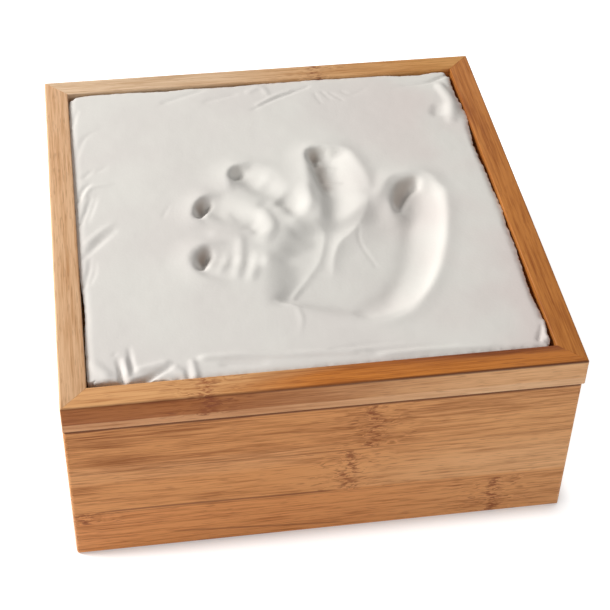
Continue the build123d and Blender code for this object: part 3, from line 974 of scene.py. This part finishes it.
# %% Cracks, folds and lumps
surface_marks = [
    (1, 1, [(-44.5, 1, 0.7, 0.8, -0.1), (-43.2, 4, 0.8, 1, -0.2), (-42, 7, 0.7, 0.8, -0.1)]),
    (2, 2, [(-5, 61, 0.7, 0.7, -0.35), (3, 66.2, 0.9, 0.7, -0.6), (9, 69, 1, 0.7, -0.6),
        (17, 73, 0.8, 0.8, -0.4)]),
    (2, 2, [(-3, 63.5, 1.6, 0.8, 0.3), (4, 68.2, 1.8, 0.8, 0.4), (10, 71, 1.6, 0.8, 0.3)]),
    (3, 3, [(-38, 69, 2, 1.6, -0.25), (-24, 75, 2, 1.6, -0.3)]),
    (3, 3, [(-22, 68, 2, 1.6, -0.2), (-12, 71, 2, 1.6, -0.25)]),
    (1, 1, [(19, 68, 0.8, 0.6, -0.25), (20.5, 62, 0.8, 0.6, -0.25)]),
    (1, 1, [(22, 69, 0.8, 0.6, -0.3), (24.5, 64, 0.8, 0.6, -0.2)]),
    (1, 1, [(25, 68, 0.8, 0.6, -0.25), (29, 63, 0.8, 0.6, -0.25)]),
    (1, 2, [(29.5, 68.5, 0.8, 0.8, -0.25), (33, 66, 0.8, 0.8, -0.25),
        (38, 68.5, 0.8, 0.8, -0.15)]),
    (1.5, 1.5, [(-6, 72, 2, 2, 0.25), (-1, 75, 2, 2, 0.3), (1, 70, 1.5, 1.5, 0.25)]),
    (4, 1, [(52, 69.5, 1.5, 1.5, -0.2), (62, 70.4, 1.4, 1.4, -0.5), (67, 72, 1.4, 1.4, -0.8),
        (73, 75.5, 1.2, 1.2, -0.6)]),
    (4, 4, [(63, 51, 3.5, 4.5, -0.7), (64, 54, 3.5, 4, -0.6)]),
    (4, 4, [(67.5, 46, 3, 3.5, 0.5), (69, 52, 3.5, 4, 1.1), (69.5, 59, 3, 3.5, 0.8),
        (68, 67, 3, 3, 0.9)]),
    (2, 3, [(-71.5, -16, 2.2, 1.8, -0.35), (-67, -10, 2.6, 2.2, -0.56),
        (-62, -4.5, 2, 2, -0.24)]),
    (2, 3, [(-70.5, -9, 2, 1.6, 0.28), (-66, -4, 2.2, 1.8, 0.35), (-62, -0.5, 2, 1.6, 0.14)]),
    (1.5, 3, [(-72.3, 1, 1.2, 1, -0.35), (-70.5, 7, 1.3, 1.1, -0.63),
        (-68.5, 14, 1.2, 1, -0.35)]),
    (1.5, 3, [(-70, 2, 1.2, 0.9, -0.21), (-68, 9, 1.2, 1, -0.42), (-66.5, 15, 1, 1, -0.14)]),
    (1.5, 2, [(-72.5, 14, 1.3, 1.1, -0.42), (-70.6, 20, 1.3, 1.1, -0.56),
        (-68, 23.5, 1, 1, -0.14)]),
    (1.5, 3, [(-70.5, 16, 1.6, 1.2, 0.35), (-68, 20.5, 1.6, 1.2, 0.35),
        (-62, 22, 1.4, 1.2, 0.14)]),
    (1.5, 2, [(-70, 27, 1.2, 1, -0.28), (-67.5, 30, 1.2, 1, -0.28)]),
    (1.5, 2, [(-65.5, 29.5, 1.4, 1.2, -0.21), (-62.5, 31.5, 1.4, 1.2, -0.14)]),
    (3, 4, [(-72, 40, 1.4, 1.2, -0.21), (-69, 50, 1.6, 1.4, -0.21), (-64, 54, 1.6, 1.4, -0.07)]),
    (2, 2, [(-72.6, 60, 1.2, 1, -0.35), (-71, 67, 1.2, 1, -0.21)]),
    (2, 2, [(-72.5, -31, 1.3, 1, -0.35), (-70.8, -24, 1.3, 1.1, -0.56),
        (-70, -18, 1.2, 1, -0.21)]),
    (2, 2, [(-70.6, -30, 1.1, 0.9, -0.28), (-69, -25, 1.1, 0.9, -0.35),
        (-68.6, -20, 1, 0.9, -0.14)]),
    (1.5, 1.5, [(-60, -62, 0.6, 0.8, -0.3), (-59.8, -66, 0.8, 1, -0.9),
        (-59.4, -71.5, 0.9, 1, -0.9)]),
    (1.5, 1.5, [(-63.8, -67, 0.8, 0.9, -0.5), (-63.2, -71, 1, 1, -1.3),
        (-62.8, -77, 1.4, 1.4, -2.4)]),
    (2, 2, [(-61.8, -67, 1.3, 1.2, 0.5), (-61.4, -73, 1.6, 1.4, 0.9)]),
    (0.6, 0.6, [(-65, -64.4, 0.6, 0.6, -0.4), (-64.2, -63.6, 0.6, 0.6, -0.4)]),
    (4, 4, [(-71, -68, 3, 3, 0.4), (-68, -72.5, 3, 3, 0.6)]),
    (2, 3, [(-58.5, -76.5, 2, 1.4, -1.2), (-54, -75, 1.8, 1.6, -1.5),
        (-49, -72.6, 1.4, 1.4, -0.6)]),
    (3, 3, [(-57, -71.8, 2.2, 2, 0.7), (-49.6, -70.2, 2.6, 2.2, 0.6)]),
    (2, 2, [(-46.5, -72.6, 2.4, 2.4, 0.5), (-44, -75, 2.4, 2.4, 0.4)]),
    (2, 1, [(-41, -70.6, 1.8, 1.4, 0.6), (-40.5, -77, 2, 1.6, 0.8)]),
    (1.6, 1, [(-43, -74, 0.8, 0.8, -0.4), (-42.6, -78, 1, 1, -0.9)]),
    (3, 6, [(-37, -69.4, 2.6, 1.6, 0.8), (-24, -69.6, 2.8, 1.8, 0.8), (-12, -71, 2.6, 1.8, 0.7),
        (0, -71.4, 2.6, 2, 0.8), (12, -72.6, 2.4, 2, 0.6)]),
    (4, 4, [(-30, -73, 2.4, 2, -0.4), (-20, -73.6, 2.4, 2, -0.3)]),
    (3, 3, [(4, -70.2, 1.2, 1, -0.3), (16, -69.4, 1.4, 1.2, -0.4), (24, -70, 1.2, 1, -0.2)]),
    (3, 4, [(12, -72.9, 1.2, 1, -0.4), (26, -72.3, 1.3, 1.1, -0.5), (40, -73, 1, 1, -0.3)]),
    (4, 6, [(20, -74.6, 1.2, 1.2, 0.5), (36, -74.2, 1.4, 1.4, 0.6), (52, -75, 1.3, 1.3, 0.4)]),
    (2, 2, [(69.5, -74, 1.2, 1.2, -0.9), (71.5, -69, 1, 1, -0.4)]),
    (1, 2, [(72.2, -74, 1, 1, 0.8), (73, -66, 1, 1, 0.5)]),
]
print(len(surface_marks), "marks on the slab")

# %% [markdown]
# ### The ragged outline
#
# Nobody cuts clay to the frame: it stops a little short of the rails, raggedly, and its
# edge rolls down. So the grid's border is pulled in by a gap that is written down along
# each rail, and noise makes it uneven.

# %% The slab's ragged outline
# How far the clay stops short of each rail, from end to end: (place along the rail, gap)
rail_gaps = {
    "left": [(-78, 0.9), (-74, 0.3), (-60, 0.3), (-51, 0.6), (-44, 1), (-36, 0.7), (-28, 0.2),
        (-20, 0), (60, 0), (70, 0.2), (78, 0.8)],
    "right": [(-78, 0.8), (-73, 1.2), (-66, 0.5), (-60, 0.8), (-52, 1.5), (-44, 1.2), (-34, 0.9),
        (-26, 0.6), (-16, 0.8), (-8, 0.1), (-2, 0.3), (5, 0.9), (14, 0.8), (22, 1.4), (30, 1.6),
        (38, 1), (44, 0.2), (50, 0), (56, 0.5), (62, 1.3), (70, 1.2), (78, 0.9)],
    "back": [(-74, 1.6), (-66, 0.3), (-52, 0.1), (-44, 0.7), (-36, 1), (-29, 0.2), (-20, 0.8),
        (-10, 0.7), (-2, 0.1), (12, 0), (26, 0.1), (36, 0.3), (48, 0.2), (54, 1.1), (62, 1.3),
        (68, 0.3), (74, 0.7)],
    "front": [(-74, 2), (-70, 2.7), (-64, 2.4), (-61, 1.6), (-56, 2.3), (-50, 1.3), (-44, 0.4),
        (-38, 0.1), (-20, 0.3), (0, 0.2), (30, 0.4), (50, 0.5), (66, 0.6), (74, 0.5)],
}
# How ragged each edge is, and how far it rolls down towards its rail
rag_sizes = {"left": 0.25, "right": 0.45, "back": 0.2, "front": 0.35}
roll_drops = {"left": 0.6, "right": 0.8, "back": 0.6, "front": 0.8}
roll_width, pull_width, corner_reach = 3.4, 5.0, 4.0
pull_curve, roll_rag = 1.5, 0.35
# Coarse and fine lumps of an edge: share, how flat they lie, size and seed
rag_lumps = ((0.7, 3, 2.6, 0.0), (0.3, 1, 0.9, 9.5))


def ripple(x, y, size, seed):
    # Soft noise with lumps of the given size in millimetres, from -1 to 1
    return np.array([noise.noise(Vector((a / size, b / size, seed))) for a, b in zip(x, y)])


def trimmed(x, y):
    # Pulls the grid's border in from the rails, rounds its corners, gives the roll's drop
    half_x = (inner_right - inner_left) / 2 / mm
    half_y = (inner_back - inner_front) / 2 / mm
    new_x, new_y, drop = x.copy(), y.copy(), np.zeros(x.shape)
    corner_x = np.maximum(np.abs(x) - (half_x - corner_reach), 0)
    corner_y = np.maximum(np.abs(y) - (half_y - corner_reach), 0)
    longest, span = np.maximum(corner_x, corner_y), np.hypot(corner_x, corner_y)
    tuck = np.where(span > 0, longest / np.maximum(span, 1e-6), 1) - 1
    new_x += np.sign(x) * corner_x * tuck
    new_y += np.sign(y) * corner_y * tuck
    sides = {"left": (half_x + x, y, 1, 0), "right": (half_x - x, y, -1, 0),
             "back": (half_y - y, x, 0, -1), "front": (half_y + y, x, 0, 1)}
    for number, (side, (depth, along, pull_x, pull_y)) in enumerate(sides.items()):
        gap = np.interp(along, *zip(*rail_gaps[side]))
        near = depth < pull_width
        rag = np.zeros(x.shape)
        rag[near] = sum(part * ripple(along[near], depth[near] / flat, size, number + seed)
                        for part, flat, size, seed in rag_lumps)
        gap = np.maximum(gap + rag_sizes[side] * rag, 0)
        pull = gap * np.clip(1 - depth / pull_width, 0, 1) ** pull_curve
        new_x += pull_x * pull
        new_y += pull_y * pull
        roll = np.clip(1 - depth / roll_width, 0, 1) ** 2
        drop = np.maximum(drop, roll * roll_drops[side] * (1 + roll_rag * rag))
    return new_x, new_y, drop


print("widest gap", max(gap for gaps in rail_gaps.values() for _, gap in gaps), "mm")

# %% [markdown]
# ### The face, all together
#
# The order is the order in which it happened. The hand presses the clay down and squeezes
# up swells and knobs, and all of that is smoothed. Sharp folds come next, then the marks of
# patting, and last the faint unevenness that a roller and fingers leave everywhere.

# %% The height of the face
stop_starts, stop_give = 5.6, 1.1
palm_pats, hand_pats, fold_pats, mark_pats = 12, 6, 1, 2
# Unevenness: height, size and seed
unevenness = ((0.22, 34.0, 3.3), (0.10, 11.0, 7.7), (0.035, 3.6, 1.9))


def clay_face(x, y):
    # Height of the clay over its level, in millimetres, at places in millimetres
    palm = hollow(x, y, palm_outline, palm_depth + palm_lean * x)
    presses = [patted(palm, palm_pats), stroke(x, y, trench, *thumb_root)]
    presses += [stroke(x, y, wave, *one) for one in scoops]
    presses += [stroke(x, y, bowl, *one) for one in pockets]
    depth = deepest(presses)
    # The backing stops the deepest pockets
    past = np.maximum(depth - stop_starts, 0)
    height = np.maximum(past - depth, -stop_starts) - stop_give * (1 - np.exp(-past / stop_give))
    height += np.max([stroke(x, y, fold, *swell) for swell in swells], 0)
    for one in knobs:
        height += stroke(x, y, wave, *one)
    height = patted(height, hand_pats)
    for one in folds:
        height += stroke(x, y, fold, *one)
    height = patted(height, fold_pats)
    marks = np.sum([stroke(x, y, wave, *one) for one in surface_marks], 0)
    height += patted(marks, mark_pats)
    for size_up, size, seed in unevenness:
        height = height + size_up * ripple(x, y, size, seed)
    return height


print("the backing stops a press by", round(stop_starts + stop_give, 2), "mm")

# %% Shape the slab
side_inset = 0.25
places = np.zeros(len(clay.data.vertices) * 3)
clay.data.vertices.foreach_get("co", places)
places = places.reshape(-1, 3)
face = places[:face_count] / mm
border = {(round(a, 2), round(b, 2)): number for number, (a, b, _) in enumerate(face)}
face_x, face_y, rolled = trimmed(face[:, 0], face[:, 1])
height = clay_face(face_x, face_y) - rolled
shaped = np.stack([face_x, face_y, clay_level / mm + height], 1)
for number in range(face_count, len(places)):
    # Points of the sides follow the point of the border over them
    over = border[(round(places[number, 0] / mm, 2), round(places[number, 1] / mm, 2))]
    share = 1 - (places[number, 2] - clay_foot) / (clay_level - clay_foot)
    top_x, top_y, top_z = shaped[over]
    inward = 1 - side_inset * min(share, 0.5) / np.hypot(top_x, top_y)
    places[number] = (top_x * inward * mm, top_y * inward * mm,
                      (top_z + share * (clay_foot / mm - top_z)) * mm)
places[:face_count] = shaped * mm
clay.data.vertices.foreach_set("co", places.ravel())
clay.data.update()
print("deepest print", round((clay_level - places[:face_count, 2].min()) / mm, 2), "mm,",
      "highest swell", round((places[:, 2].max() - lid_top) / mm, 2), "mm over the rails")

# %% [markdown]
# ### The clay's finish
#
# Air-dried clay is matt and chalky and off-white. Towards the right a rosier, slightly darker
# colour is painted in as shade, and deep in the fingertips a brown one, as painted shade in the
# pockets. How much brown is known from the strokes of the tips, so each point of the slab carries
# its share, and the finish reads it.

# %% Painted shade in the fingertips
# For each pocket the strength of its painted shade; the shade starts this low down and sits this
# far back
pocket_shade_shares = (0.4, 0.6, 0.6, 1.0, 0.8, 0.45)
pocket_shade_starts, pocket_shade_span = 0.1, 1.0
pocket_shade_least, pocket_shade_full, pocket_shade_shift = 0.6, 2.4, 4.2
pocket_shade_pats = 4
tip_shade = np.max([share * np.clip((stroke(face_x, face_y - pocket_shade_shift, bowl, *one) - pocket_shade_least)
                               / pocket_shade_full, 0, 1)
               for share, one in zip(pocket_shade_shares, pockets)], 0)
low_down = np.clip((pocket_shade_starts - height) / pocket_shade_span, 0, 1)
pocket_shade_share = patted(tip_shade * low_down, pocket_shade_pats)
pocket_shade_share = np.concatenate([pocket_shade_share, np.zeros(len(places) - face_count)])
clay.data.attributes.new("pocket_shade", "FLOAT", "POINT").data.foreach_set("value", pocket_shade_share)
print("brownest", round(pocket_shade_share.max(), 2))

# %% Clay finish
clay_white, clay_grey = paint(229, 226, 220), paint(225, 220, 215)
clay_shaded_rose, pocket_shade_brown = paint(225, 215, 210), paint(136, 110, 90)
# Where the painted shade towards the right begins and where it is full
right_shade_starts, right_shade_full = 10 * mm, 75 * mm
cloud_scale, grey_levels, right_shade_levels = 22.0, (0.35, 0.65), (0.3, 0.55)
pore_scale, pore_strength, pore_depth = 900.0, 0.3, 0.12 * mm
clay_roughness, clay_specular = 0.72, 0.25
clay_smooth = math.radians(60)

clay_look, clay_tree = new_look("white_clay")
clay_solid = add_node(clay_tree, "ShaderNodeTexCoord").outputs["Object"]
cloud = add_node(clay_tree, "ShaderNodeTexNoise", {
    "Vector": clay_solid, "Scale": cloud_scale, "Detail": 2.0}).outputs["Fac"]
clay_colour = blend(clay_tree, ramp(clay_tree, cloud, *grey_levels), clay_white, clay_grey)
clay_across = add_node(clay_tree, "ShaderNodeSeparateXYZ", {"Vector": clay_solid}).outputs["X"]
# Towards the right a rosier, darker colour is painted in as shade
right_shade = times(clay_tree, ramp(clay_tree, clay_across, right_shade_starts, right_shade_full),
             ramp(clay_tree, cloud, *right_shade_levels))
clay_colour = blend(clay_tree, right_shade, clay_colour, clay_shaded_rose)
# Brown painted shade deep in the fingertip pockets
pocket_shade = add_node(clay_tree, "ShaderNodeAttribute", attribute_name="pocket_shade").outputs["Fac"]
clay_colour = blend(clay_tree, pocket_shade, clay_colour, pocket_shade_brown)
pores = add_node(clay_tree, "ShaderNodeTexNoise", {
    "Vector": clay_solid, "Scale": pore_scale, "Detail": 3.0}).outputs["Fac"]
clay_bump = add_node(clay_tree, "ShaderNodeBump", {
    "Height": pores, "Strength": pore_strength, "Distance": pore_depth}).outputs[0]
clay_surface = add_node(clay_tree, "ShaderNodeBsdfPrincipled", {
    "Base Color": clay_colour, "Normal": clay_bump, "Roughness": clay_roughness,
    "Specular IOR Level": clay_specular})
add_node(clay_tree, "ShaderNodeOutputMaterial", {"Surface": clay_surface.outputs[0]})
clay.data.materials.append(clay_look)
bpy.ops.object.select_all(action="DESELECT")
clay.select_set(True)
bpy.context.view_layer.objects.active = clay
bpy.ops.object.shade_smooth_by_angle(angle=clay_smooth)
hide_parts("clay_panel")
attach(clay, "lid")
print("clay finish", len(clay_tree.nodes), "nodes")

# %% [markdown]
# ## The view
#
# The scene's colours are shown through the Standard view transform.

# %% Standard view transform
bpy.context.scene.view_settings.view_transform = "Standard"
